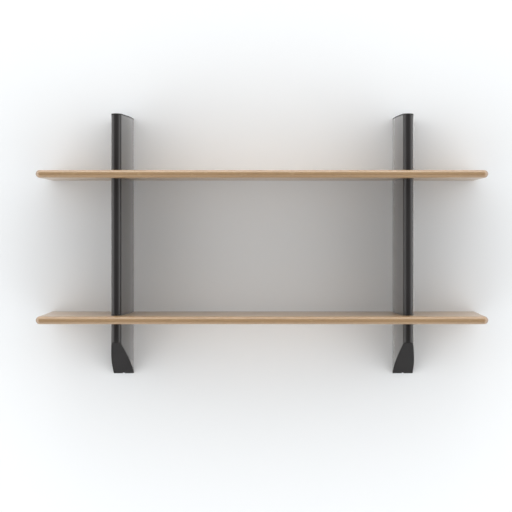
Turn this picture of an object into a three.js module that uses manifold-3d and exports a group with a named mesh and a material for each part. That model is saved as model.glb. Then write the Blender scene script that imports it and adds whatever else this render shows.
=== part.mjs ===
// A wall shelf of two oak boards on two wing-shaped uprights, in millimetres.
// The wall is the plane Y = 0, the room is on the -Y side, +X is to the right and +Z is up.
// The origin is the middle of the lower board's back edge.
// Each upright is a hollow extruded section that hooks over a rail on the wall. The boards are
// notched from behind, and are pushed on from the front over supports screwed to the uprights.
import * as THREE from "three";
import { mergeVertices } from "three/addons/utils/BufferGeometryUtils.js";
import Module from "manifold-3d";

// Boards
const BOARD_WIDTH = 1450;
const BOARD_DEPTH = 240;
const BOARD_THICKNESS = 25;
const BOARD_PITCH = 469; // middle of one board to the middle of the other
const BOARD_CORNER = 16; // radius of the front corners, seen from above
const LEVELS = { lower: 0, upper: BOARD_PITCH };

// Uprights
const UPRIGHT_SPACING = 945;
const UPRIGHT_REACH = 197; // past the middle of each board, at the wall
const NOSE_SETBACK = 45; // from the boards' front edge to the upright's nose
const NOSE_DROP = 75.5; // from the lower board's middle to the slanted end, at the nose
const NOSE_RADIUS = 17;
const NOSE_FLARE = 0.16; // how fast the half width grows with depth, behind the nose
const NOSE_PULL = 76; // how far that flare is felt
const BACK_HALF_WIDTH = 34.2;
const BACK_FLARE = 0.02;
const BACK_PULL = 70;
const BACK_CORNER = 3;
const SKIN = 2.5;
const WEB = 3;
const POCKET_BACKS = [13, 58, 118]; // depth behind the wall plane at which each hollow starts
const SIDES = { left: -1, right: 1 };

// The channel in an upright's back, and the rail inside it
const LIP = 3;
const SLOT_HALF_WIDTH = 13;
const CHANNEL_DEPTH = 10;
const RAIL_FOOT_HALF_WIDTH = 12;
const RAIL_FOOT = 3.8;
const RAIL_HALF_WIDTH = 22;
const RAIL_THICKNESS = 8.8;
const RAIL_BOTTOM = -140;
const RAIL_TOP = 612;
const RAIL_HOLES = [-110, 115, 340, 565];
const BLOCK_HALF_WIDTH = 20;
const BLOCK_HEIGHT = 30;
const BLOCK_SCREW_OFFSET = 8;

// End caps
const CAP = 3;
const SPIGOT = 12;
const SPIGOT_PLAY = 0.4;
const LEVER_NOTCH = 3.5;

// Board supports, one on each flank of an upright at each board
const SUPPORT_BACK = -45;
const SUPPORT_FRONT = -150;
const SUPPORT_FLANGE = 3;
const SUPPORT_REACH = 16;
const SUPPORT_HALF_HEIGHT = 8;
const SUPPORT_BLADE = 4;
const SUPPORT_SCREWS = [-66, -128];
const SUPPORT_SCREW_RISE = 2;
const SUPPORT_SCREW_SUNK = 0.6; // keeps the square head inside the leaning flange
const LOCK_SCREW_Y = -97;
const LOCK_SCREW_REACH = 9.5;

// Countersunk screws: shank radius, head radius, head depth, length, and the socket's radius
const SUPPORT_SCREW = { shank: 2.4, head: 4.4, sink: 2.3, length: 10, socket: 1.6 };
const LOCK_SCREW = { shank: 2, head: 3.8, sink: 2.1, length: 8.3, socket: 1.3 };
const WALL_SCREW_HOLE = { shank: 3, head: 5.8, sink: 3.2, length: 20, socket: 0 };
const SOCKET_DEPTH = 1.2;
const TIP = 0.7;

const GAP = 0.3; // between pieces that touch
const NOTCH_PLAY = 0.6; // round an upright, in a board
const GROOVE_PLAY = 0.5;
const PAST = 2; // how far a cut runs past the face it opens
const MERGE_STEP = 1e-4;
const SCREW_STEPS = 8;
const SOCKET_SIDES = 6;
const NOSE_STEPS = 12;
const FLANK_STEPS = 10;
const STRIP_STEPS = 4;
const CORNER_STEPS = 3;
const EDGE_STEPS = 6;
const HALVINGS = 30;

const wasm = await Module();
wasm.setup();

const OAK = new THREE.MeshStandardMaterial({ name: "oak", color: 0xbda486, roughness: 0.55 });
const BLACK = new THREE.MeshStandardMaterial({ name: "black_coat", color: 0x2b2929, roughness: 0.4 });
const CAP_GREY = new THREE.MeshStandardMaterial({ name: "cap_grey", color: 0x413f3f, roughness: 0.8 });
const ALUMINIUM = new THREE.MeshStandardMaterial({
  name: "aluminium",
  color: 0xa9abad,
  roughness: 0.45,
  metalness: 1,
});
const STEEL = new THREE.MeshStandardMaterial({
  name: "zinc_steel",
  color: 0x8f9192,
  roughness: 0.35,
  metalness: 1,
});

const noseAngle = Math.atan(NOSE_FLARE);
const noseTip = NOSE_SETBACK - BOARD_DEPTH;
const noseCentre = noseTip + NOSE_RADIUS;
const noseTangent = noseCentre - NOSE_RADIUS * Math.sin(noseAngle);
const uprightTop = BOARD_PITCH + UPRIGHT_REACH;
const slant = (UPRIGHT_REACH - NOSE_DROP) / noseTip; // rise of the lower end per unit of Y
const point = (x, y) => new THREE.Vector2(x, y);

// One flank of the section, from the wall to where the nose's arc starts.
const flank = new THREE.CubicBezierCurve(
  point(BACK_HALF_WIDTH, 0),
  point(BACK_HALF_WIDTH - BACK_FLARE * BACK_PULL, -BACK_PULL),
  point(NOSE_RADIUS * Math.cos(noseAngle) + NOSE_FLARE * NOSE_PULL, noseTangent + NOSE_PULL),
  point(NOSE_RADIUS * Math.cos(noseAngle), noseTangent),
);

// Half the section's width at a place along Y, found by halving the curve's parameter.
// Behind the wall plane it keeps the width that it has there.
function halfWidth(y) {
  let low = 0;
  let high = 1;
  for (let i = 0; i < HALVINGS; i += 1) {
    const middle = (low + high) / 2;
    if (flank.getPoint(middle).y > y) low = middle;
    else high = middle;
  }
  return flank.getPoint(low).x;
}

function arcPoints(centreX, centreY, radius, from, to, steps) {
  return Array.from({ length: steps + 1 }, (_, i) => {
    const angle = from + ((to - from) * i) / steps;
    return point(centreX + radius * Math.cos(angle), centreY + radius * Math.sin(angle));
  });
}

// Points on the right-hand flank, moved outwards by grow.
function flankPoints(fromY, toY, grow, steps = FLANK_STEPS) {
  return Array.from({ length: steps + 1 }, (_, i) => {
    const y = fromY + ((toY - fromY) * i) / steps;
    return point(halfWidth(y) + grow, y);
  });
}

const mirrored = (points) => points.map((p) => point(-p.x, p.y)).reverse();

// The section from a place along Y forwards, round the nose and back.
function noseOutline(fromY, grow) {
  const side = flankPoints(fromY, noseTangent, grow).slice(0, -1);
  const nose = arcPoints(0, noseCentre, NOSE_RADIUS + grow, -noseAngle, noseAngle - Math.PI, NOSE_STEPS);
  return [...side, ...nose, ...mirrored(side)];
}

// The hollows between the webs, as outlines: the last one reaches into the nose.
function pocketOutlines(play = 0) {
  return POCKET_BACKS.map((back, i) => {
    if (i === POCKET_BACKS.length - 1) return noseOutline(-back - play, -SKIN - play);
    const front = POCKET_BACKS[i + 1] - WEB;
    const side = flankPoints(-back - play, -front + play, -SKIN - play, STRIP_STEPS);
    return [...side, ...mirrored(side)];
  });
}

// The outside of the section, with its back corners rounded.
function uprightOutline() {
  const inset = BACK_HALF_WIDTH - BACK_CORNER;
  const corner = arcPoints(inset, -BACK_CORNER, BACK_CORNER, Math.PI / 2, 0, CORNER_STEPS);
  const open = noseOutline(-BACK_CORNER, 0).slice(1, -1);
  return [...corner, ...open, ...mirrored(corner)];
}

// Outlines and holes are both given clockwise. The holes are turned round, so that they face inwards.
function extrude(outline, depth, holes = []) {
  const shape = new THREE.Shape(outline);
  holes.forEach((hole) => shape.holes.push(new THREE.Path(hole.toReversed())));
  return new THREE.ExtrudeGeometry(shape, { depth, bevelEnabled: false });
}

// Moves each vertex to the height that a function of it gives.
function reshapeZ(geometry, height) {
  const position = geometry.attributes.position;
  for (let i = 0; i < position.count; i += 1) position.setZ(i, height(position.getY(i), position.getZ(i)));
  geometry.computeVertexNormals();
  return geometry;
}

const slantAt = (y) => -UPRIGHT_REACH + slant * y;
const slanted = (geometry) => reshapeZ(geometry, (y, z) => slantAt(y) + z);

function toSolid(geometry) {
  const bare = geometry.clone();
  bare.deleteAttribute("normal");
  bare.deleteAttribute("uv");
  const merged = mergeVertices(bare, MERGE_STEP);
  const vertProperties = merged.attributes.position.array;
  const triVerts = new Uint32Array(merged.index.array);
  return new wasm.Manifold(new wasm.Mesh({ numProp: 3, vertProperties, triVerts }));
}

function toGeometry(solid) {
  const mesh = solid.getMesh();
  const indexed = new THREE.BufferGeometry();
  indexed.setAttribute("position", new THREE.BufferAttribute(mesh.vertProperties, 3));
  indexed.setIndex(new THREE.BufferAttribute(mesh.triVerts, 1));
  const flat = indexed.toNonIndexed();
  flat.computeVertexNormals();
  return flat;
}

function cut(geometry, cutters) {
  return toGeometry(cutters.reduce((solid, cutter) => solid.subtract(toSolid(cutter)), toSolid(geometry)));
}

function join(geometries) {
  return toGeometry(geometries.map(toSolid).reduce((whole, solid) => whole.add(solid)));
}

function box(low, high) {
  const size = high.map((value, i) => value - low[i]);
  return new THREE.BoxGeometry(...size).translate(...low.map((value, i) => value + size[i] / 2));
}

// A countersunk screw along Y, its head's face at the origin and its tip on the -Y side.
// A grown body is the hole for it, which also runs past the face that the head sits in.
function screwBody(screw, grow = 0) {
  const tip = -screw.length - grow;
  const profile = [
    point(0, tip),
    point(screw.shank + grow - TIP, tip),
    point(screw.shank + grow, tip + TIP),
    point(screw.shank + grow, -screw.sink),
    point(screw.head + grow, 0),
  ];
  if (grow) profile.push(point(screw.head + grow, PAST), point(0, PAST));
  else profile.push(point(0, 0));
  return new THREE.LatheGeometry(profile, SCREW_STEPS);
}

function screwWithSocket(screw) {
  const socket = new THREE.CylinderGeometry(screw.socket, screw.socket, 2 * SOCKET_DEPTH, SOCKET_SIDES);
  return cut(screwBody(screw), [socket]);
}

const supportScrew = screwWithSocket(SUPPORT_SCREW);
const lockScrew = screwWithSocket(LOCK_SCREW);

// Where each screw sits beside an upright's flank, and how it is turned.
const turnOutwards = (side) => (-side * Math.PI) / 2;
const supportScrewX = (y) => halfWidth(y) + GAP + SUPPORT_FLANGE - SUPPORT_SCREW_SUNK;
const lockScrewX = halfWidth(LOCK_SCREW_Y) + LOCK_SCREW_REACH;

function supportScrewHole(side, y, z) {
  const hole = screwBody(SUPPORT_SCREW, GAP).rotateZ(turnOutwards(side));
  return hole.translate(side * supportScrewX(y), y, z + SUPPORT_SCREW_RISE);
}

function lockScrewHole(side) {
  const hole = screwBody(LOCK_SCREW, GAP).rotateX(-Math.PI / 2);
  return hole.translate(side * lockScrewX, LOCK_SCREW_Y, -BOARD_THICKNESS / 2);
}

// Block screws run forwards from the channel into the web behind it.
const blockBase = RAIL_TOP + GAP;
const blockBack = -LIP - GAP;
const blockScrewHeights = [-1, 1].map((end) => blockBase + BLOCK_HEIGHT / 2 + end * BLOCK_SCREW_OFFSET);
const blockScrewHole = (z) => screwBody(SUPPORT_SCREW, GAP).translate(0, blockBack, z);

// A strip beside one flank, seen from above, between two offsets from it.
function flankStrip(side, fromY, toY, inner, outer) {
  const near = flankPoints(fromY, toY, inner, STRIP_STEPS);
  const far = flankPoints(fromY, toY, outer, STRIP_STEPS);
  return [...near, ...far.reverse()].map((p) => point(side * p.x, p.y));
}

// An L-shaped support: a flange on the flank, and a blade that the board rests on.
function supportGeometry(side) {
  const leaf = (reach, height) => {
    const strip = flankStrip(side, SUPPORT_BACK, SUPPORT_FRONT, GAP, GAP + reach);
    return extrude(strip, height).translate(0, 0, -SUPPORT_HALF_HEIGHT);
  };
  const flange = leaf(SUPPORT_FLANGE, 2 * SUPPORT_HALF_HEIGHT);
  const blade = leaf(SUPPORT_REACH, SUPPORT_BLADE);
  const holes = SUPPORT_SCREWS.map((y) => supportScrewHole(side, y, 0));
  return cut(join([flange, blade]), [...holes, lockScrewHole(side)]);
}

// The room for one support, open towards the wall so that the board can be pushed on.
function grooveCutters(side) {
  const room = (reach, height) => {
    const strip = flankStrip(side, PAST, SUPPORT_FRONT - GROOVE_PLAY, 0, GAP + reach + GROOVE_PLAY);
    return extrude(strip, height + 2 * GAP).translate(0, 0, -SUPPORT_HALF_HEIGHT - GAP);
  };
  return [room(SUPPORT_FLANGE, 2 * SUPPORT_HALF_HEIGHT), room(SUPPORT_REACH, SUPPORT_BLADE)];
}

// What a board loses round one upright: the notch, and the grooves and screw holes of two supports.
function notchCutters() {
  const past = BOARD_THICKNESS / 2 + PAST;
  const notch = extrude(noseOutline(PAST, NOTCH_PLAY), 2 * past).translate(0, 0, -past);
  const sides = Object.values(SIDES).flatMap((side) => [...grooveCutters(side), lockScrewHole(side)]);
  return [notch, ...sides];
}

// A board is its flat part swept out by a half-round edge. The edge at the wall is cut square.
function boardGeometry() {
  const round = BOARD_THICKNESS / 2;
  const x = BOARD_WIDTH / 2 - round;
  const front = round - BOARD_DEPTH;
  const corner = BOARD_CORNER - round;
  const right = arcPoints(x - corner, front + corner, corner, 0, -Math.PI / 2, CORNER_STEPS);
  const outline = [point(x, round + PAST), ...right];
  const flat = new THREE.Shape([...outline, ...mirrored(outline)]);
  const board = new THREE.ExtrudeGeometry(flat, {
    depth: 2 * GAP,
    bevelThickness: round - GAP,
    bevelSize: round,
    bevelSegments: EDGE_STEPS,
  }).translate(0, 0, -GAP);
  const behind = box([-BOARD_WIDTH, 0, -BOARD_THICKNESS], [BOARD_WIDTH, BOARD_DEPTH, BOARD_THICKNESS]);
  const notches = Object.values(SIDES).flatMap((side) =>
    notchCutters().map((cutter) => cutter.translate((side * UPRIGHT_SPACING) / 2, 0, 0)),
  );
  return cut(board, [behind, ...notches]);
}

// The channel in the back, with lips that hook behind the rail's flange.
function channelCutter() {
  const inside = (y) => halfWidth(y) - SKIN;
  const chamber = [
    point(inside(-LIP), -LIP),
    point(inside(-CHANNEL_DEPTH), -CHANNEL_DEPTH),
    point(-inside(-CHANNEL_DEPTH), -CHANNEL_DEPTH),
    point(-inside(-LIP), -LIP),
    point(-SLOT_HALF_WIDTH, -LIP),
    point(-SLOT_HALF_WIDTH, PAST),
    point(SLOT_HALF_WIDTH, PAST),
    point(SLOT_HALF_WIDTH, -LIP),
  ];
  const low = -UPRIGHT_REACH - PAST;
  return extrude(chamber, uprightTop + PAST - low).translate(0, 0, low);
}

function uprightGeometry() {
  const endRise = CAP * Math.hypot(1, slant) + GAP;
  const topEnd = uprightTop - CAP - GAP;
  const tube = extrude(uprightOutline(), 1, pocketOutlines());
  reshapeZ(tube, (y, z) => (z > 0 ? topEnd : slantAt(y) + endRise));
  const holes = Object.values(LEVELS).flatMap((level) =>
    Object.values(SIDES).flatMap((side) => SUPPORT_SCREWS.map((y) => supportScrewHole(side, y, level))),
  );
  return cut(tube, [channelCutter(), ...holes, ...blockScrewHeights.map(blockScrewHole)]);
}

// Spigots stand in the front hollows. They start inside the plate, so that the two join.
function spigots(rise) {
  const outlines = pocketOutlines(SPIGOT_PLAY).slice(1);
  return outlines.map((outline) => extrude(outline, rise));
}

function topCapGeometry() {
  const plate = extrude(uprightOutline(), CAP).translate(0, 0, uprightTop - CAP);
  const depth = SPIGOT + CAP / 2;
  const pegs = spigots(depth).map((peg) => peg.translate(0, 0, uprightTop - CAP / 2 - depth));
  return join([plate, ...pegs]);
}

function bottomCapGeometry() {
  const plateRise = CAP * Math.hypot(1, slant);
  const plate = slanted(extrude(uprightOutline(), plateRise));
  const pegs = spigots(SPIGOT + plateRise / 2).map((peg) => slanted(peg.translate(0, 0, plateRise / 2)));
  const notch = new THREE.CylinderGeometry(LEVER_NOTCH, LEVER_NOTCH, 4 * SPIGOT, NOSE_STEPS);
  notch.rotateX(Math.PI / 2).translate(0, 0, -UPRIGHT_REACH);
  return cut(join([plate, ...pegs]), [notch]);
}

function railGeometry() {
  const outline = [
    point(RAIL_FOOT_HALF_WIDTH, 0),
    point(RAIL_FOOT_HALF_WIDTH, -RAIL_FOOT),
    point(RAIL_HALF_WIDTH, -RAIL_FOOT),
    point(RAIL_HALF_WIDTH, -RAIL_THICKNESS),
  ];
  const bar = extrude([...outline, ...mirrored(outline)], RAIL_TOP - RAIL_BOTTOM);
  bar.translate(0, 0, RAIL_BOTTOM);
  const holes = RAIL_HOLES.map((z) =>
    screwBody(WALL_SCREW_HOLE, GAP).rotateZ(Math.PI).translate(0, -RAIL_THICKNESS, z),
  );
  return cut(bar, holes);
}

// The block rests on the rail's upper end and carries the upright.
function blockGeometry() {
  const low = [-BLOCK_HALF_WIDTH, GAP - CHANNEL_DEPTH, blockBase];
  const high = [BLOCK_HALF_WIDTH, blockBack, blockBase + BLOCK_HEIGHT];
  return cut(box(low, high), blockScrewHeights.map(blockScrewHole));
}

function piece(name, geometry, material, parent) {
  const mesh = new THREE.Mesh(geometry, material);
  mesh.name = name;
  parent.add(mesh);
  return mesh;
}

function addSupport(parent, sideName, levelName, upright) {
  const side = SIDES[sideName];
  const level = LEVELS[levelName];
  const label = `${levelName}_${upright}_${sideName}`;
  piece(`support_${label}`, supportShapes[sideName], STEEL, parent).position.z = level;
  SUPPORT_SCREWS.forEach((y, i) => {
    const screw = piece(`support_screw_${label}_${i + 1}`, supportScrew, STEEL, parent);
    screw.position.set(side * supportScrewX(y), y, level + SUPPORT_SCREW_RISE);
    screw.rotation.z = turnOutwards(side);
  });
  const lock = piece(`lock_screw_${label}`, lockScrew, STEEL, parent);
  lock.position.set(side * lockScrewX, LOCK_SCREW_Y, level - BOARD_THICKNESS / 2);
  lock.rotation.x = -Math.PI / 2;
}

const supportShapes = { left: supportGeometry(SIDES.left), right: supportGeometry(SIDES.right) };
const boardShape = boardGeometry();
const uprightShape = uprightGeometry();
const topCapShape = topCapGeometry();
const bottomCapShape = bottomCapGeometry();
const railShape = railGeometry();
const blockShape = blockGeometry();

function uprightGroup(name) {
  const group = new THREE.Group();
  group.position.x = (SIDES[name] * UPRIGHT_SPACING) / 2;
  piece(`upright_${name}`, uprightShape, BLACK, group);
  piece(`top_cap_${name}`, topCapShape, CAP_GREY, group);
  piece(`bottom_cap_${name}`, bottomCapShape, CAP_GREY, group);
  piece(`wall_rail_${name}`, railShape, ALUMINIUM, group);
  piece(`hanger_block_${name}`, blockShape, STEEL, group);
  blockScrewHeights.forEach((z, i) => {
    piece(`hanger_screw_${name}_${i + 1}`, supportScrew, STEEL, group).position.set(0, blockBack, z);
  });
  Object.keys(LEVELS).forEach((level) => {
    Object.keys(SIDES).forEach((side) => addSupport(group, side, level, name));
  });
  return group;
}

const shelf = new THREE.Group();
Object.entries(LEVELS).forEach(([name, level]) => {
  piece(`board_${name}`, boardShape, OAK, shelf).position.z = level;
});
Object.keys(SIDES).forEach((name) => shelf.add(uprightGroup(name)));

export default shelf;
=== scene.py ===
import math

import bmesh
import bpy
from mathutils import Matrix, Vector
from mathutils.geometry import interpolate_bezier


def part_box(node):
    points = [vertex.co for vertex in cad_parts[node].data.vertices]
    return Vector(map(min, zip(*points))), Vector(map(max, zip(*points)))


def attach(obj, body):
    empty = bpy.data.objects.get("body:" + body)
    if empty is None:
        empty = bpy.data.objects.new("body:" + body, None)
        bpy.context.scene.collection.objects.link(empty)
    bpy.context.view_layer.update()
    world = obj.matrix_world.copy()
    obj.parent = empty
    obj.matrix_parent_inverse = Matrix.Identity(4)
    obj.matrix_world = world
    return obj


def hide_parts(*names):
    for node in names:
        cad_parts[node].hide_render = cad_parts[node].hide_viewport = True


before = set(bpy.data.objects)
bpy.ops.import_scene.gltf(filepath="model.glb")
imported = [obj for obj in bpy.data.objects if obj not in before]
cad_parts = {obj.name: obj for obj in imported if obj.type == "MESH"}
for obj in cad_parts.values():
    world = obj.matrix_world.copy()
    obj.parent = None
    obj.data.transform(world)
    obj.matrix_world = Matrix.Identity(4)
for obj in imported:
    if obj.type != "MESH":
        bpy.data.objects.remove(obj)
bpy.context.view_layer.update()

MM = 0.001

# ---------------------------------------------------------------- sizes, from the frame
LEVELS = ("lower", "upper")
SIDES = ("left", "right")
BOARDS = {level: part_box(f"board_{level}") for level in LEVELS}
UPRIGHTS = {side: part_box(f"upright_{side}") for side in SIDES}
TOP_CAPS = {side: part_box(f"top_cap_{side}") for side in SIDES}
BOTTOM_CAPS = {side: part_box(f"bottom_cap_{side}") for side in SIDES}
UPRIGHT_X = {side: (low.x + high.x) / 2 for side, (low, high) in UPRIGHTS.items()}
LEVEL_Z = {level: (low.z + high.z) / 2 for level, (low, high) in BOARDS.items()}

BOARD_CORNER = 16 * MM
NOTCH_PLAY = 0.6 * MM
GROOVE_FRONT = -150.5 * MM
GROOVES = ((3.8 * MM, -8.3 * MM, 8.3 * MM), (16.8 * MM, -8.3 * MM, -3.7 * MM))  # reach, low, high

NOSE_RADIUS = 17 * MM
NOSE_FLARE = 0.16
NOSE_PULL = 76 * MM
BACK_HALF_WIDTH = 34.2 * MM
BACK_FLARE = 0.02
BACK_PULL = 70 * MM
BACK_CORNER = 3 * MM
SKIN = 2.5 * MM
POCKETS = ((-13 * MM, -55 * MM), (-58 * MM, -115 * MM), (-118 * MM, -250 * MM))
LIP = 3 * MM
SLOT_HALF_WIDTH = 13 * MM
CHANNEL_DEPTH = 10 * MM
CAP = 3 * MM
SPIGOT = 12 * MM
SPIGOT_PLAY = 0.4 * MM
GAP = 0.3 * MM
LEVER_NOTCH = 3.5 * MM
PAST = 2 * MM        # how far a cutter runs past a face
OVERRUN = 50 * MM    # the same, for a blank that the slant is cut from
CUTTER_OVERRUN = 60 * MM
EDGE_BREAK = 0.3 * MM
CAP_EDGE = 0.6 * MM

SUPPORT_SCREW_Y = (-66 * MM, -128 * MM)
SUPPORT_SCREW_RISE = 2 * MM
SCREW_SHANK = 2.4 * MM
LOCK_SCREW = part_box("lock_screw_lower_left_left")
LOCK_SHANK = 2 * MM
LOCK_HEAD = 3.8 * MM
LOCK_SINK = 2.1 * MM
LOCK_SOCKET = 1.3 * MM
SOCKET_DEPTH = 1.2 * MM

INSET_RIM = 1.5 * MM
HEAD_ROUND = 0.25 * MM
SOCKET_ROUND = 0.08 * MM
FLANK_HOLE_DEPTH = 90 * MM
WEB_HOLE_DEPTH = 6 * MM
WEB_HOLE_Y = -12 * MM

NOSE_TIP = UPRIGHTS["left"][0].y
LOWEST = BOTTOM_CAPS["left"][0].z
SLANT_TIP = -75.5 * MM
SLANT = (SLANT_TIP - LOWEST) / NOSE_TIP  # rise of the lower end per metre of Y
SLANT_NORMAL = Vector((0, -SLANT, 1)).normalized()
CAP_RISE = CAP * math.hypot(1, SLANT)


# ---------------------------------------------------------------- modelling helpers
def deselect_all():
    bpy.ops.object.select_all(action="DESELECT")


def make_active(piece):
    deselect_all()
    piece.select_set(True)
    bpy.context.view_layer.objects.active = piece
    return piece


def finish_new(name):
    """Names the primitive just added and puts its place into its mesh."""
    piece = bpy.context.object
    piece.name = piece.data.name = name
    bpy.ops.object.transform_apply(location=True, rotation=True, scale=True)
    return piece


def block(name, low, high):
    """A cuboid between two corners, as the start of a piece."""
    low, high = Vector(low), Vector(high)
    deselect_all()
    bpy.ops.mesh.primitive_cube_add(size=1, location=(low + high) / 2)
    bpy.context.object.scale = high - low
    return finish_new(name)


def rod(name, radius, depth, place, turn=(0, 0, 0), sides=32):
    deselect_all()
    bpy.ops.mesh.primitive_cylinder_add(
        vertices=sides, radius=radius, depth=depth, location=place, rotation=turn
    )
    return finish_new(name)


def edit(piece):
    make_active(piece)
    bpy.ops.object.mode_set(mode="EDIT")


def done():
    bpy.ops.object.mode_set(mode="OBJECT")


def pick(kind, test):
    """Selects each vertex, edge or face in edit mode whose corners all pass the test."""
    bpy.ops.mesh.select_mode(type=kind)
    bpy.ops.mesh.select_all(action="DESELECT")
    shape = bmesh.from_edit_mesh(bpy.context.object.data)
    found = {"VERT": shape.verts, "EDGE": shape.edges, "FACE": shape.faces}[kind]
    for element in found:
        corners = [element] if kind == "VERT" else element.verts
        element.select_set(all(test(corner.co) for corner in corners))
    shape.select_flush_mode()
    bmesh.update_edit_mesh(bpy.context.object.data)


def near(value, target, by=0.02 * MM):
    return abs(value - target) < by


def slice_at(place, normal, keep=None):
    """Cuts right through the mesh in edit mode. keep "below" or "above" the plane drops the rest."""
    bpy.ops.mesh.select_all(action="SELECT")
    bpy.ops.mesh.bisect(
        plane_co=place,
        plane_no=normal,
        use_fill=keep is not None,
        clear_inner=keep == "above",
        clear_outer=keep == "below",
    )


def boolean(piece, cutter, operation="DIFFERENCE"):
    """Cuts or joins with another piece, which is used up."""
    make_active(piece)
    modifier = piece.modifiers.new("cut", "BOOLEAN")
    modifier.object = cutter
    modifier.operation = operation
    modifier.solver = "EXACT"
    bpy.ops.object.modifier_apply(modifier=modifier.name)
    bpy.data.objects.remove(cutter)
    return piece


def merge(piece):
    """Joins corners that lie on one another and drops faces with no area."""
    edit(piece)
    bpy.ops.mesh.select_all(action="SELECT")
    bpy.ops.mesh.remove_doubles(threshold=0.004 * MM)
    bpy.ops.mesh.dissolve_degenerate(threshold=0.004 * MM)
    done()
    return piece


def soften(piece, width, segments=2, angle=40, clamp=False):
    """Rounds every edge sharper than the angle, and marks the new strips in the attribute "edge"."""
    merge(piece)
    modifier = piece.modifiers.new("soft edges", "BEVEL")
    modifier.width = width
    modifier.segments = segments
    modifier.limit_method = "ANGLE"
    modifier.angle_limit = math.radians(angle)
    modifier.material = 1
    modifier.use_clamp_overlap = clamp
    dress(piece, None, None)
    bpy.ops.object.modifier_apply(modifier=modifier.name)
    marks = piece.data.attributes.new("edge", "FLOAT", "FACE")
    marks.data.foreach_set("value", [float(face.material_index) for face in piece.data.polygons])
    piece.data.polygons.foreach_set("material_index", [0] * len(piece.data.polygons))
    return piece


def dress(piece, *materials):
    piece.data.materials.clear()
    for material in materials:
        piece.data.materials.append(material)


def smooth(piece, angle=35):
    """Smooth shading that leaves wide faces flat and bends only the narrow strips between them."""
    make_active(piece)
    bpy.ops.object.shade_smooth_by_angle(angle=math.radians(angle))
    modifier = piece.modifiers.new("wide faces first", "WEIGHTED_NORMAL")
    modifier.keep_sharp = True
    bpy.ops.object.modifier_apply(modifier=modifier.name)
    return piece


def moved(piece, offset):
    make_active(piece)
    bpy.ops.transform.translate(value=offset)
    bpy.ops.object.transform_apply(location=True, rotation=False, scale=False)
    return piece


def twin(piece, name, offset):
    """A copy with its own mesh, some way off."""
    make_active(piece)
    bpy.ops.object.duplicate(linked=False)
    copy = bpy.context.object
    copy.name = copy.data.name = name
    return moved(copy, offset)


# ---------------------------------------------------------------- the uprights' section
def flank_curve(steps=16):
    """Half widths and places along Y, from the wall to where the nose's arc starts."""
    lean = math.atan(NOSE_FLARE)
    tangent_x = NOSE_RADIUS * math.cos(lean)
    tangent_y = NOSE_TIP + NOSE_RADIUS - NOSE_RADIUS * math.sin(lean)
    return interpolate_bezier(
        Vector((BACK_HALF_WIDTH, 0)),
        Vector((BACK_HALF_WIDTH - BACK_FLARE * BACK_PULL, -BACK_PULL)),
        Vector((tangent_x + NOSE_FLARE * NOSE_PULL, tangent_y + NOSE_PULL)),
        Vector((tangent_x, tangent_y)),
        steps,
    )


def wing(name, grow, low, high, back=0.0, corner=0.0):
    """An upright's section as a prism, its outline moved outwards by grow."""
    tip = NOSE_TIP - grow
    full = BACK_HALF_WIDTH + grow
    turn = (math.pi / 2 - math.atan(NOSE_FLARE)) / 2
    reach = (NOSE_RADIUS + grow) * math.tan(turn)
    stations = [point for point in flank_curve()[:-1] if point.y < back - 0.1 * MM]
    piece = block(name, (-full, tip, low), (full, back, high))
    edit(piece)
    for width, y in stations:
        slice_at((0, y, 0), (0, 1, 0))
    for width, y in stations:
        pick("VERT", lambda co: near(co.y, y))
        bpy.ops.transform.resize(value=((width + grow) / full, 1, 1), center_override=(0, y, 0))
    pick("VERT", lambda co: near(co.y, tip))
    bpy.ops.transform.resize(value=(reach / full, 1, 1), center_override=(0, tip, 0))
    pick("EDGE", lambda co: near(co.y, tip) and abs(co.x) > reach / 2)
    keep_upright_edges()
    bpy.ops.mesh.bevel(offset_type="ABSOLUTE", offset=reach - 0.02 * MM, segments=10, affect="EDGES")
    if corner:
        pick("EDGE", lambda co: near(co.y, back) and abs(co.x) > full / 2)
        keep_upright_edges()
        bpy.ops.mesh.bevel(offset_type="OFFSET", offset=corner, segments=5, affect="EDGES")
    done()
    return piece


def keep_upright_edges():
    """Leaves only upright edges selected."""
    shape = bmesh.from_edit_mesh(bpy.context.object.data)
    for edge in shape.edges:
        ends = edge.verts
        if abs(ends[0].co.z - ends[1].co.z) < abs(ends[0].co.x - ends[1].co.x) + MM:
            edge.select_set(False)
    bmesh.update_edit_mesh(bpy.context.object.data)


def slant_place(rise):
    return (0, 0, LOWEST + rise)


def pockets(play, low, high):
    """The hollows between the webs, as three cutters."""
    made = []
    for index, (back, front) in enumerate(POCKETS):
        piece = wing(f"pocket_{index}", -SKIN - play, low, high)
        edit(piece)
        slice_at((0, back - play, 0), (0, 1, 0), "below")
        if front > NOSE_TIP:
            slice_at((0, front + play, 0), (0, 1, 0), "above")
        done()
        made.append(piece)
    return made


def upright_shell():
    low, high = UPRIGHTS["left"]
    piece = wing("upright_shell_left", 0, low.z - OVERRUN, high.z, corner=BACK_CORNER)
    edit(piece)
    slice_at(slant_place(CAP_RISE + GAP), SLANT_NORMAL, "above")
    done()
    for pocket in pockets(0, low.z - CUTTER_OVERRUN, high.z + PAST):
        boolean(piece, pocket)
    half = BACK_HALF_WIDTH - SKIN
    ends = low.z - CUTTER_OVERRUN, high.z + PAST
    boolean(piece, block("chamber", (-half, -CHANNEL_DEPTH, ends[0]), (half, -LIP, ends[1])))
    slot_low = (-SLOT_HALF_WIDTH, -LIP - MM, ends[0])
    boolean(piece, block("slot", slot_low, (SLOT_HALF_WIDTH, PAST, ends[1])))
    soften(piece, EDGE_BREAK)
    for hole in screw_holes():
        boolean(piece, hole)
    return smooth(piece)


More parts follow.
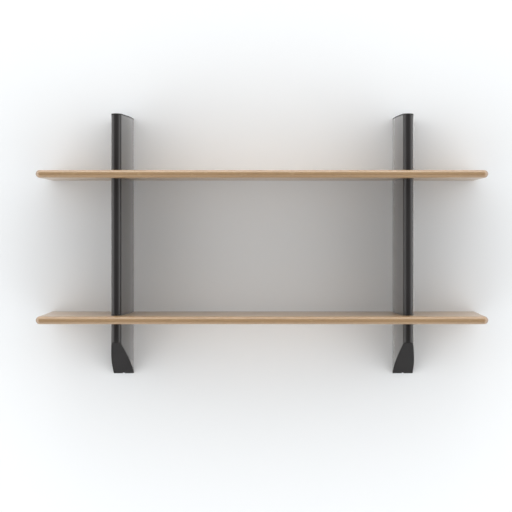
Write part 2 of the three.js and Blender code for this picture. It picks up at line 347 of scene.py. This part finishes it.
def screw_holes():
    """Cutters for the screws of the supports, across both flanks, and of the hanger block."""
    radius = SCREW_SHANK + GAP
    across = (0, math.pi / 2, 0)
    along = (math.pi / 2, 0, 0)
    made = []
    for level in LEVEL_Z.values():
        for y in SUPPORT_SCREW_Y:
            spot = (0, y, level + SUPPORT_SCREW_RISE)
            made.append(rod("hole", radius, FLANK_HOLE_DEPTH, spot, across))
    for end in (1, 2):
        low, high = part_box(f"hanger_screw_left_{end}")
        spot = (0, WEB_HOLE_Y, (low.z + high.z) / 2)
        made.append(rod("hole", radius, WEB_HOLE_DEPTH, spot, along))
    return made


def top_cap():
    high = TOP_CAPS["left"][1].z
    plate = wing("end_cap_top_left", 0, high - CAP, high, corner=BACK_CORNER)
    soften(plate, CAP_EDGE, 3, clamp=True)
    pegs = pockets(SPIGOT_PLAY, high - CAP - SPIGOT, high - CAP / 2)
    bpy.data.objects.remove(pegs.pop(0))
    for peg in pegs:
        boolean(plate, peg, "UNION")
    return smooth(plate)


def bottom_cap():
    low, high = BOTTOM_CAPS["left"]
    plate = wing("end_cap_bottom_left", 0, low.z - OVERRUN, high.z + OVERRUN, corner=BACK_CORNER)
    edit(plate)
    slice_at(slant_place(0), SLANT_NORMAL, "above")
    slice_at(slant_place(CAP_RISE), SLANT_NORMAL, "below")
    done()
    quarter = (math.pi / 2, 0, 0)
    soften(plate, CAP_EDGE, 3, clamp=True)
    boolean(plate, rod("notch", LEVER_NOTCH, 40 * MM, (0, 0, LOWEST), quarter, 48))
    merge(plate)
    pegs = pockets(SPIGOT_PLAY, low.z - OVERRUN, high.z + OVERRUN)
    bpy.data.objects.remove(pegs.pop(0))
    for peg in pegs:
        edit(peg)
        slice_at(slant_place(CAP_RISE / 2), SLANT_NORMAL, "above")
        slice_at(slant_place(CAP_RISE + SPIGOT), SLANT_NORMAL, "below")
        done()
        boolean(plate, peg, "UNION")
    return smooth(plate)


# ---------------------------------------------------------------- the lock screws
def countersunk(name, grow=0.0):
    """A countersunk screw's body, head down at the underside, standing on its own axis."""
    low, high = LOCK_SCREW
    radius = LOCK_SHANK + grow
    piece = rod(name, radius, high.z - low.z, (0, 0, (low.z + high.z) / 2), sides=40)
    edit(piece)
    slice_at((0, 0, low.z + LOCK_SINK), (0, 0, 1))
    pick("FACE", lambda co: near(co.z, low.z))
    widen = (LOCK_HEAD + grow) / radius
    bpy.ops.transform.resize(value=(widen, widen, 1), center_override=(0, 0, low.z))
    done()
    return piece


def lock_screw():
    low = LOCK_SCREW[0]
    piece = countersunk("lock_screw_lower_left_left")
    edit(piece)
    pick("EDGE", lambda co: near(co.z, low.z))
    bpy.ops.mesh.bevel(offset_type="OFFSET", offset=HEAD_ROUND, segments=3, affect="EDGES")
    done()
    socket = rod("socket", LOCK_SOCKET, 2 * SOCKET_DEPTH, (0, 0, low.z), sides=6)
    boolean(piece, socket)
    soften(piece, SOCKET_ROUND, angle=50)
    return moved(smooth(piece), (*lock_screw_places()["left_left"], 0))


def lock_screw_places():
    """X and Y of each of a board's lock screws, by upright and side."""
    spots = {}
    for upright in SIDES:
        for side in SIDES:
            low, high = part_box(f"lock_screw_lower_{upright}_{side}")
            spots[f"{upright}_{side}"] = ((low.x + high.x) / 2, (low.y + high.y) / 2)
    return spots


# ---------------------------------------------------------------- the boards
def board():
    low, high = BOARDS["lower"]
    round_edge = (high.z - low.z) / 2 - 0.05 * MM
    piece = block("oak_board_lower", low, high)
    edit(piece)
    pick("EDGE", lambda co: near(co.y, low.y))
    keep_upright_edges()
    bpy.ops.mesh.bevel(offset_type="OFFSET", offset=BOARD_CORNER, segments=8, affect="EDGES")
    for z in (low.z, high.z):
        pick("FACE", lambda co: near(co.z, z))
        bpy.ops.mesh.region_to_loop()
        drop_back_edge()
        bpy.ops.mesh.bevel(offset_type="OFFSET", offset=round_edge, segments=12, affect="EDGES")
    for z in (low.z, high.z):
        pick("FACE", lambda co: near(co.z, z))
        bpy.ops.mesh.inset(thickness=INSET_RIM)
    done()
    for x in UPRIGHT_X.values():
        notch = wing("notch", NOTCH_PLAY, low.z - PAST, high.z + PAST, back=PAST)
        boolean(piece, moved(notch, (x, 0, 0)))
        for reach, groove_low, groove_high in GROOVES:
            groove = wing("groove", reach, groove_low, groove_high, back=PAST)
            edit(groove)
            slice_at((0, GROOVE_FRONT, 0), (0, 1, 0), "above")
            done()
            boolean(piece, moved(groove, (x, 0, 0)))
    soften(piece, EDGE_BREAK)
    for spot in lock_screw_places().values():
        hole = countersunk("lock hole", GAP)
        edit(hole)
        pick("FACE", lambda co: near(co.z, LOCK_SCREW[0].z))
        bpy.ops.mesh.extrude_region_move(TRANSFORM_OT_translate={"value": (0, 0, -PAST)})
        done()
        boolean(piece, moved(hole, (*spot, 0)))
    return smooth(piece)


def drop_back_edge():
    """Takes the edge along the wall out of the selection."""
    shape = bmesh.from_edit_mesh(bpy.context.object.data)
    for edge in shape.edges:
        if all(near(vert.co.y, 0) for vert in edge.verts):
            edge.select_set(False)
    bmesh.update_edit_mesh(bpy.context.object.data)


# ---------------------------------------------------------------- materials
def node(tree, kind, inputs=None, **settings):
    """Adds a node, sets it up, and links or fills its inputs."""
    made = tree.nodes.new(kind)
    for key, value in settings.items():
        setattr(made, key, value)
    for key, value in (inputs or {}).items():
        if isinstance(value, bpy.types.NodeSocket):
            tree.links.new(value, made.inputs[key])
        else:
            made.inputs[key].default_value = value
    return made


def maths(tree, operation, *values):
    """One step of arithmetic, given as its result's socket."""
    return node(tree, "ShaderNodeMath", dict(enumerate(values)), operation=operation).outputs[0]


def vector_maths(tree, operation, *values):
    return node(tree, "ShaderNodeVectorMath", dict(enumerate(values)), operation=operation).outputs[0]


def noise(tree, place, scale, detail=2.0, roughness=0.5):
    inputs = {"Vector": place, "Scale": scale, "Detail": detail, "Roughness": roughness}
    return node(tree, "ShaderNodeTexNoise", inputs).outputs[0]


def ramp(tree, value, *stops):
    """A curve through (position, level) stops, as a grey colour ramp."""
    made = node(tree, "ShaderNodeValToRGB", {0: value})
    elements = made.color_ramp.elements
    while len(elements) < len(stops):
        elements.new(0.5)
    for element, (position, level) in zip(elements, stops):
        element.position = position
        element.color = (level, level, level, 1)
    return made.outputs[0]


def blend(tree, amount, first, second):
    """A colour between two, by an amount that varies over the surface."""
    made = node(tree, "ShaderNodeMix", {0: amount}, data_type="RGBA")
    for socket, colour in ((made.inputs[6], first), (made.inputs[7], second)):
        if isinstance(colour, bpy.types.NodeSocket):
            tree.links.new(colour, socket)
        else:
            socket.default_value = (*colour, 1)
    return made.outputs[2]


def group(name, inputs, outputs):
    """An empty node group with float sockets, apart from the input Place, which is a vector."""
    tree = bpy.data.node_groups.new(name, "ShaderNodeTree")
    for label, value in inputs.items():
        kind = "NodeSocketVector" if label == "Place" else "NodeSocketFloat"
        socket = tree.interface.new_socket(label, in_out="INPUT", socket_type=kind)
        if label != "Place":
            socket.default_value = value
    for label in outputs:
        tree.interface.new_socket(label, in_out="OUTPUT", socket_type="NodeSocketFloat")
    return tree, node(tree, "NodeGroupInput").outputs, node(tree, "NodeGroupOutput").inputs


def use(tree, shared, **inputs):
    """Puts a shared group into a material."""
    made = tree.nodes.new("ShaderNodeGroup")
    made.node_tree = shared
    for label, value in inputs.items():
        if isinstance(value, bpy.types.NodeSocket):
            tree.links.new(value, made.inputs[label])
        else:
            made.inputs[label].default_value = value
    return made.outputs


def speckle_group():
    """Fine grains of a coat or a moulded skin: a height, and a mask of painted glints, the few grains
    that the materials paint paler as if they catch light.
    """
    tree, given, result = group("fine speckle", {"Place": None, "Size": 0.001}, ("Height", "Painted glints"))
    scale = maths(tree, "DIVIDE", 1.0, given["Size"])
    grains = noise(tree, given["Place"], scale, 3.0, 0.6)
    # painted glints: the few grains to be painted paler, as if they catch light
    spots = ramp(tree, grains, (0.60, 0.0), (0.78, 1.0))
    tree.links.new(grains, result["Height"])
    tree.links.new(spots, result["Painted glints"])
    return tree


def edge_highlight_and_wear_group():
    """Painted edge highlight and wear: the marked edge strips, broken up so that only parts of them
    show it. Coat, cap and oak paint them paler as a highlight; zinc paints them darker as wear.
    """
    tree, given, result = group("painted edge highlight and wear", {"Place": None, "Amount": 0.5}, ("Mask",))
    strips = node(tree, "ShaderNodeAttribute", attribute_name="edge").outputs["Fac"]
    patches = ramp(tree, noise(tree, given["Place"], 45.0, 4.0, 0.65), (0.38, 0.0), (0.62, 1.0))
    # painted highlight and wear: the edge strips that the materials paint in another colour
    edge_highlight_and_wear = maths(tree, "MULTIPLY", strips, patches)
    tree.links.new(maths(tree, "MULTIPLY", edge_highlight_and_wear, given["Amount"]), result["Mask"])
    return tree


def handling_group():
    """Broad soft patches, as cleaning and handling leave on a finish, with a few faint wipe marks."""
    tree, given, result = group("handling", {"Place": None, "Scale": 9.0}, ("Mask",))
    patches = noise(tree, given["Place"], given["Scale"], 4.0, 0.55)
    squeezed = node(tree, "ShaderNodeMapping", {0: given["Place"]})
    squeezed.inputs["Scale"].default_value = (1.0, 1.0, 0.12)
    squeezed.inputs["Rotation"].default_value = (0.5, 0.3, 0.0)
    wipes = noise(tree, squeezed.outputs[0], 150.0, 2.0, 0.5)
    mixed = maths(tree, "MULTIPLY_ADD", wipes, 0.35, maths(tree, "MULTIPLY", patches, 0.65))
    tree.links.new(ramp(tree, mixed, (0.36, 0.0), (0.64, 1.0)), result["Mask"])
    return tree


SPECKLE = speckle_group()
EDGE_HIGHLIGHT_AND_WEAR = edge_highlight_and_wear_group()
HANDLING = handling_group()


def finish(name, **constants):
    """A new material with the shader's even values set, its tree, and where a point is on the piece."""
    material = bpy.data.materials.new(name)
    material.use_nodes = True
    tree = material.node_tree
    shader = tree.nodes["Principled BSDF"]
    for label, value in constants.items():
        shader.inputs[label.replace("_", " ")].default_value = value
    place = node(tree, "ShaderNodeTexCoord").outputs["Object"]
    return material, tree, shader.inputs, place


def bump(tree, height, distance, strength, under=None):
    inputs = {"Height": height, "Distance": distance, "Strength": strength}
    if under is not None:
        inputs["Normal"] = under
    return node(tree, "ShaderNodeBump", inputs).outputs[0]


def link(tree, output, socket):
    tree.links.new(output, socket)


def vary(tree, mask, low, high):
    """Maps a mask from 0..1 to a range."""
    return maths(tree, "MULTIPLY_ADD", mask, high - low, low)


OAK_PALE = (0.375, 0.246, 0.130)
OAK_HONEY = (0.310, 0.192, 0.091)
OAK_BAND = (0.225, 0.131, 0.057)
OAK_FLECK = (0.440, 0.315, 0.180)
OAK_PORE = (0.105, 0.055, 0.026)
OAK_END = (0.150, 0.080, 0.030)

COAT_DARK = (0.0185, 0.0170, 0.0172)
COAT_HANDLED = (0.0225, 0.0207, 0.0209)
COAT_PAINTED_GLINT = (0.030, 0.028, 0.028)
COAT_EDGE_HIGHLIGHT = (0.055, 0.052, 0.050)
CAP_DARK = (0.0165, 0.0155, 0.0155)
CAP_HANDLED = (0.0215, 0.0200, 0.0200)
CAP_PAINTED_GLINT = (0.045, 0.043, 0.043)
CAP_EDGE_HIGHLIGHT = (0.060, 0.057, 0.056)
ALLOY_DARK = (0.60, 0.61, 0.62)
ALLOY_PALE = (0.71, 0.715, 0.72)
ALLOY_LINE = (0.47, 0.475, 0.48)
ZINC_DARK = (0.50, 0.515, 0.53)
ZINC_PALE = (0.62, 0.63, 0.64)
ZINC_WARM = (0.60, 0.56, 0.47)
ZINC_RUBBED = (0.34, 0.34, 0.34)

STAVE = 60 * MM
RING = 3.2 * MM


def oak():
    """Solid oak staves along X, each with its own rings about its own pith, under a satin lacquer."""
    material, tree, shader, place = finish(
        "solid_oak",
        Coat_Weight=1.0,
        Coat_IOR=1.5,
        Coat_Roughness=0.28,
    )
    parts = node(tree, "ShaderNodeSeparateXYZ", {0: place})
    y, z = parts.outputs["Y"], parts.outputs["Z"]

    # which stave, and three random numbers of its own
    stave = maths(tree, "FLOOR", maths(tree, "DIVIDE", y, STAVE))
    level = maths(tree, "GREATER_THAN", z, (LEVEL_Z["lower"] + LEVEL_Z["upper"]) / 2)
    number = node(tree, "ShaderNodeCombineXYZ", {0: stave, 1: level, 2: 7.0}).outputs[0]
    chance = node(tree, "ShaderNodeTexWhiteNoise", {0: number}, noise_dimensions="3D").outputs[1]
    random = node(tree, "ShaderNodeSeparateColor", {0: chance}).outputs
    scaled = node(tree, "ShaderNodeVectorMath", {0: chance, "Scale": 5.0}, operation="SCALE")
    shift = scaled.outputs[0]
    own = vector_maths(tree, "ADD", place, shift)

    # rings: the distance from a pith that lies below the stave and wanders along it
    middle = maths(tree, "MULTIPLY", maths(tree, "ADD", stave, 0.5), STAVE)
    across = maths(tree, "SUBTRACT", y, maths(tree, "MULTIPLY_ADD", random[0], STAVE, middle))
    height = maths(tree, "SUBTRACT", z, maths(tree, "MULTIPLY", level, LEVEL_Z["upper"]))
    down = maths(tree, "ADD", height, vary(tree, random[1], 35 * MM, 85 * MM))
    across_square = maths(tree, "MULTIPLY", across, across)
    down_square = maths(tree, "MULTIPLY", down, down)
    radius = maths(tree, "SQRT", maths(tree, "ADD", across_square, down_square))
    slow = vector_maths(tree, "MULTIPLY", own, (1.3, 9.0, 9.0))
    wander = maths(tree, "MULTIPLY", noise(tree, slow, 1.6, 3.0), 34 * MM)
    ring = maths(tree, "FRACT", maths(tree, "DIVIDE", maths(tree, "ADD", radius, wander), RING))
    early = ramp(tree, ring, (0.0, 0.15), (0.10, 1.0), (0.42, 0.35), (1.0, 0.0))

    # fibres, open pores in the early wood, and pale flecks
    fibre = noise(tree, vector_maths(tree, "MULTIPLY", own, (9.0, 420.0, 420.0)), 1.0, 3.0, 0.6)
    streak = noise(tree, vector_maths(tree, "MULTIPLY", own, (3.0, 70.0, 70.0)), 1.0, 2.0)
    dash = noise(tree, vector_maths(tree, "MULTIPLY", own, (85.0, 1500.0, 1500.0)), 1.0, 1.0)
    dashes = ramp(tree, dash, (0.56, 0.0), (0.66, 1.0))
    pores = maths(tree, "MULTIPLY", dashes, vary(tree, early, 0.35, 1.0))
    flake = noise(tree, vector_maths(tree, "MULTIPLY", own, (45.0, 240.0, 90.0)), 1.0, 1.0)
    fleck = ramp(tree, flake, (0.64, 0.0), (0.74, 1.0))

    # end grain drinks more lacquer, so it is deeper in colour
    normal = node(tree, "ShaderNodeTexCoord").outputs["Normal"]
    facing = node(tree, "ShaderNodeSeparateXYZ", {0: normal})
    end_grain = ramp(tree, maths(tree, "ABSOLUTE", facing.outputs[0]), (0.25, 0.0), (0.95, 1.0))

    warm = blend(tree, random[2], OAK_PALE, OAK_HONEY)
    banded = blend(tree, maths(tree, "MULTIPLY", early, 0.30), warm, OAK_BAND)
    streaked = blend(tree, vary(tree, streak, 0.0, 0.4), banded, OAK_HONEY)
    fibred = blend(tree, vary(tree, fibre, -0.12, 0.42), streaked, OAK_BAND)
    flecked = blend(tree, maths(tree, "MULTIPLY", fleck, 0.3), fibred, OAK_FLECK)
    pored = blend(tree, maths(tree, "MULTIPLY", pores, 0.6), flecked, OAK_PORE)
    ended = blend(tree, maths(tree, "MULTIPLY", end_grain, 0.85), pored, OAK_END)
    # painted highlight and wear: parts of the edge strips are painted pale
    edge_highlight_and_wear = use(tree, EDGE_HIGHLIGHT_AND_WEAR, Place=place, Amount=0.35)["Mask"]
    link(tree, blend(tree, edge_highlight_and_wear, ended, OAK_PALE), shader["Base Color"])

    touched = use(tree, HANDLING, Place=place, Scale=6.0)["Mask"]
    rough = maths(tree, "ADD", vary(tree, touched, 0.40, 0.50), maths(tree, "MULTIPLY", pores, 0.2))
    link(tree, rough, shader["Roughness"])
    relief = maths(tree, "SUBTRACT", maths(tree, "MULTIPLY", fibre, 0.35), pores)
    link(tree, bump(tree, relief, 0.12 * MM, 0.5), shader["Normal"])
    return material


def black_coat():
    """A thin satin black powder coat: a slight orange peel, fine grains with painted glints, and edges
    painted paler as a highlight and wear.
    """
    material, tree, shader, place = finish(
        "black_powder_coat",
        IOR=1.2,
        Coat_Weight=1.0,
        Coat_IOR=1.2,
        Coat_Roughness=0.09,
        Sheen_Weight=0.35,
        Sheen_Roughness=0.4,
    )
    fine = use(tree, SPECKLE, Place=place, Size=0.45 * MM)
    peel = noise(tree, place, 420.0, 2.0)
    touched = use(tree, HANDLING, Place=place, Scale=7.0)["Mask"]
    # painted highlight and wear: parts of the edge strips are painted much paler than the coat
    edge_highlight_and_wear = use(tree, EDGE_HIGHLIGHT_AND_WEAR, Place=place, Amount=0.7)["Mask"]
    tone = blend(tree, touched, COAT_DARK, COAT_HANDLED)
    # painted glints: a few grains are painted paler, as if they catch light
    coat_with_painted_glints = blend(tree, maths(tree, "MULTIPLY", fine["Painted glints"], 0.25), tone, COAT_PAINTED_GLINT)
    link(tree, blend(tree, edge_highlight_and_wear, coat_with_painted_glints, COAT_EDGE_HIGHLIGHT), shader["Base Color"])
    rough = maths(tree, "MULTIPLY_ADD", fine["Height"], 0.06, vary(tree, touched, 0.11, 0.17))
    link(tree, rough, shader["Roughness"])
    waves = bump(tree, peel, 0.02 * MM, 0.12)
    link(tree, bump(tree, fine["Height"], 0.01 * MM, 0.15, waves), shader["Normal"])
    return material


def moulded_cap():
    """Charcoal plastic from a spark-textured mould, a little paler than the coat."""
    material, tree, shader, place = finish("moulded_cap", IOR=1.2)
    coarse = use(tree, SPECKLE, Place=place, Size=0.55 * MM)
    fine = use(tree, SPECKLE, Place=place, Size=0.22 * MM)
    touched = use(tree, HANDLING, Place=place, Scale=16.0)["Mask"]
    # painted highlight and wear: parts of the edge strips are painted paler than the cap
    edge_highlight_and_wear = use(tree, EDGE_HIGHLIGHT_AND_WEAR, Place=place, Amount=0.6)["Mask"]
    tone = blend(tree, touched, CAP_DARK, CAP_HANDLED)
    # painted glints: a few coarse grains are painted paler, as if they catch light
    cap_with_painted_glints = blend(tree, maths(tree, "MULTIPLY", coarse["Painted glints"], 0.5), tone, CAP_PAINTED_GLINT)
    link(tree, blend(tree, edge_highlight_and_wear, cap_with_painted_glints, CAP_EDGE_HIGHLIGHT), shader["Base Color"])
    link(tree, vary(tree, fine["Height"], 0.52, 0.82), shader["Roughness"])
    pits = bump(tree, coarse["Height"], 0.05 * MM, 0.5)
    link(tree, bump(tree, fine["Height"], 0.02 * MM, 0.4, pits), shader["Normal"])
    return material


def mill_aluminium():
    """Extruded aluminium with die lines along Z and a slightly clouded skin."""
    material, tree, shader, place = finish("mill_aluminium", Metallic=1.0)
    lines = noise(tree, vector_maths(tree, "MULTIPLY", place, (1400.0, 1400.0, 3.0)), 1.0, 2.0, 0.6)
    touched = use(tree, HANDLING, Place=place, Scale=20.0)["Mask"]
    cloud = blend(tree, touched, ALLOY_DARK, ALLOY_PALE)
    drawn = blend(tree, maths(tree, "MULTIPLY", lines, 0.35), cloud, ALLOY_LINE)
    link(tree, drawn, shader["Base Color"])
    rough = maths(tree, "MULTIPLY_ADD", lines, 0.16, vary(tree, touched, 0.26, 0.36))
    link(tree, rough, shader["Roughness"])
    link(tree, bump(tree, lines, 0.02 * MM, 0.5), shader["Normal"])
    return material


def zinc_plate():
    """Zinc plate on steel: a faint crystal pattern, warm patches of passivation, dull edges."""
    material, tree, shader, place = finish("zinc_plate", Metallic=1.0)
    crystals = node(tree, "ShaderNodeTexVoronoi", {"Vector": place, "Scale": 600.0}).outputs["Color"]
    facet = node(tree, "ShaderNodeSeparateColor", {0: crystals}).outputs[0]
    fine = use(tree, SPECKLE, Place=place, Size=0.3 * MM)
    touched = use(tree, HANDLING, Place=place, Scale=60.0)["Mask"]
    edge_highlight_and_wear = use(tree, EDGE_HIGHLIGHT_AND_WEAR, Place=place, Amount=0.8)["Mask"]
    plated = blend(tree, vary(tree, facet, 0.0, 0.6), ZINC_DARK, ZINC_PALE)
    warmed = blend(tree, maths(tree, "MULTIPLY", touched, 0.45), plated, ZINC_WARM)
    link(tree, blend(tree, edge_highlight_and_wear, warmed, ZINC_RUBBED), shader["Base Color"])
    rough = maths(tree, "MULTIPLY_ADD", facet, 0.08, vary(tree, fine["Height"], 0.22, 0.42))
    link(tree, rough, shader["Roughness"])
    link(tree, bump(tree, fine["Height"], 0.01 * MM, 0.5), shader["Normal"])
    return material


OAK = oak()
BLACK = black_coat()
CAP_GREY = moulded_cap()
ALUMINIUM = mill_aluminium()
ZINC = zinc_plate()


def install(piece, material, *nodes):
    """Gives a finished piece its material and body, in place of the CAD nodes named."""
    dress(piece, material)
    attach(piece, "root")
    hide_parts(*nodes)


# ---------------------------------------------------------------- build
def build():
    lower = board()
    upper = twin(lower, "oak_board_upper", (0, 0, LEVEL_Z["upper"] - LEVEL_Z["lower"]))
    install(lower, OAK, "board_lower")
    install(upper, OAK, "board_upper")
    across = (UPRIGHT_X["right"] - UPRIGHT_X["left"], 0, 0)
    for make, node_name, material in (
        (upright_shell, "upright", BLACK),
        (top_cap, "top_cap", CAP_GREY),
        (bottom_cap, "bottom_cap", CAP_GREY),
    ):
        left = moved(make(), (UPRIGHT_X["left"], 0, 0))
        right = twin(left, left.name.replace("left", "right"), across)
        install(left, material, f"{node_name}_left")
        install(right, material, f"{node_name}_right")
    place_lock_screws()
    for name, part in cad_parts.items():
        if not part.hide_render:
            dress(part, ALUMINIUM if name.startswith("wall_rail") else ZINC)


def place_lock_screws():
    first = lock_screw()
    spots = lock_screw_places()
    home = Vector((*spots["left_left"], LEVEL_Z["lower"]))
    for level in LEVELS:
        for label, (x, y) in spots.items():
            name = f"socket_screw_{level}_{label}"
            copy = twin(first, name, Vector((x, y, LEVEL_Z[level])) - home)
            install(copy, ZINC, f"lock_screw_{level}_{label}")
    bpy.data.objects.remove(first)


build()


# ---------------------------------------------------------------- stage, light and camera
WALL_GAP = 0.3 * MM
WALL_COLOUR = (0.878, 0.9, 0.916)
WALL_SIZE = 14
WALL_CENTRE = (0, WALL_GAP, 3)
FLOOR_COLOUR = (0.85, 0.85, 0.85)
FLOOR_SIZE = 20
FLOOR_CENTRE = (0, -10, -1.3)
MATT = 0.9

EVEN_LIGHT = 0.30
RIM_LIGHT = 4.3
RIM_POWER = 2.5
ABOVE_LIGHT = -1.4
OVERHEAD_LIGHT = 3.6
BELOW_LIGHT = -1.35
UNDERFOOT_LIGHT = -3.1
BROAD_POWER = 2.0
NARROW_POWER = 14.0
BEHIND_LIGHT = 0.2

EYE = (0.0706, -4.07, 0.2957)
LENS = 84.37
SENSOR = 36
SHIFT = (-0.0547, -0.0547)
FAR = 60


def paint(name, colour, roughness):
    material = bpy.data.materials.new(name)
    material.use_nodes = True
    shader = material.node_tree.nodes["Principled BSDF"]
    shader.inputs["Base Color"].default_value = (*colour, 1)
    shader.inputs["Roughness"].default_value = roughness
    return material


def plane(name, size, place_at, turn, material):
    deselect_all()
    bpy.ops.mesh.primitive_plane_add(size=size, location=place_at, rotation=turn)
    made = finish_new(name)
    dress(made, material)
    return made


def wall_material():
    """White paint, clear from behind and to any ray no longer than a few wall gaps."""
    material = paint("wall_paint", WALL_COLOUR, MATT)
    tree = material.node_tree
    shader = tree.nodes["Principled BSDF"]
    clear = node(tree, "ShaderNodeBsdfTransparent")
    behind = node(tree, "ShaderNodeNewGeometry").outputs["Backfacing"]
    ray = node(tree, "ShaderNodeLightPath").outputs["Ray Length"]
    close = maths(tree, "LESS_THAN", ray, 3 * WALL_GAP)
    unseen = maths(tree, "MAXIMUM", behind, close)
    surfaces = {0: unseen, 1: shader.outputs[0], 2: clear.outputs[0]}
    mix = node(tree, "ShaderNodeMixShader", surfaces)
    tree.links.new(mix.outputs[0], tree.nodes["Material Output"].inputs["Surface"])
    return material


def floor_material():
    """Pale paint that only the camera sees, and only from above: the dome's light passes it."""
    material = paint("floor_paint", FLOOR_COLOUR, MATT)
    tree = material.node_tree
    clear = node(tree, "ShaderNodeBsdfTransparent")
    ray = node(tree, "ShaderNodeLightPath").outputs["Is Camera Ray"]
    behind = node(tree, "ShaderNodeNewGeometry").outputs["Backfacing"]
    seen = maths(tree, "SUBTRACT", ray, behind)
    painted = tree.nodes["Principled BSDF"].outputs[0]
    mix = node(tree, "ShaderNodeMixShader", {0: seen, 1: clear.outputs[0], 2: painted})
    tree.links.new(mix.outputs[0], tree.nodes["Material Output"].inputs["Surface"])
    return material


def dome_term(tree, value, weight, power, total):
    """Adds weight * value**power to the dome's brightness, wherever the value is positive."""
    kept = maths(tree, "MAXIMUM", value, 0.0)
    raised = maths(tree, "POWER", kept, power)
    return maths(tree, "MULTIPLY_ADD", raised, weight, total)


def studio_dome():
    """A wide dome of light: brightest in line with the wall, dimmer above and below it, with
    a small bright patch straight overhead and a dim one straight underfoot."""
    world = bpy.data.worlds.new("studio")
    bpy.context.scene.world = world
    world.use_nodes = True
    tree = world.node_tree
    direction = node(tree, "ShaderNodeTexCoord").outputs["Generated"]
    parts = node(tree, "ShaderNodeSeparateXYZ", {0: direction})
    along, up = parts.outputs["Y"], parts.outputs["Z"]
    edge = maths(tree, "SUBTRACT", 1.0, maths(tree, "MULTIPLY", along, along))
    down = maths(tree, "MULTIPLY", up, -1.0)
    level = dome_term(tree, edge, RIM_LIGHT, RIM_POWER, EVEN_LIGHT)
    level = dome_term(tree, up, ABOVE_LIGHT, BROAD_POWER, level)
    level = dome_term(tree, up, OVERHEAD_LIGHT, NARROW_POWER, level)
    level = dome_term(tree, down, BELOW_LIGHT, BROAD_POWER, level)
    level = dome_term(tree, down, UNDERFOOT_LIGHT, NARROW_POWER, level)
    level = dome_term(tree, along, BEHIND_LIGHT, 1.0, level)
    background = tree.nodes["Background"]
    background.inputs["Color"].default_value = (1, 1, 1, 1)
    tree.links.new(level, background.inputs["Strength"])


def camera():
    data = bpy.data.cameras.new("camera")
    made = bpy.data.objects.new("camera", data)
    bpy.context.scene.collection.objects.link(made)
    made.location = EYE
    made.rotation_euler = (math.pi / 2, 0, 0)
    data.sensor_width = SENSOR
    data.lens = LENS
    data.shift_x, data.shift_y = SHIFT
    data.clip_end = FAR
    bpy.context.scene.camera = made


plane("wall", WALL_SIZE, WALL_CENTRE, (math.pi / 2, 0, 0), wall_material())
plane("floor", FLOOR_SIZE, FLOOR_CENTRE, (0, 0, 0), floor_material())
studio_dome()
camera()
bpy.context.scene.view_settings.view_transform = "Standard"
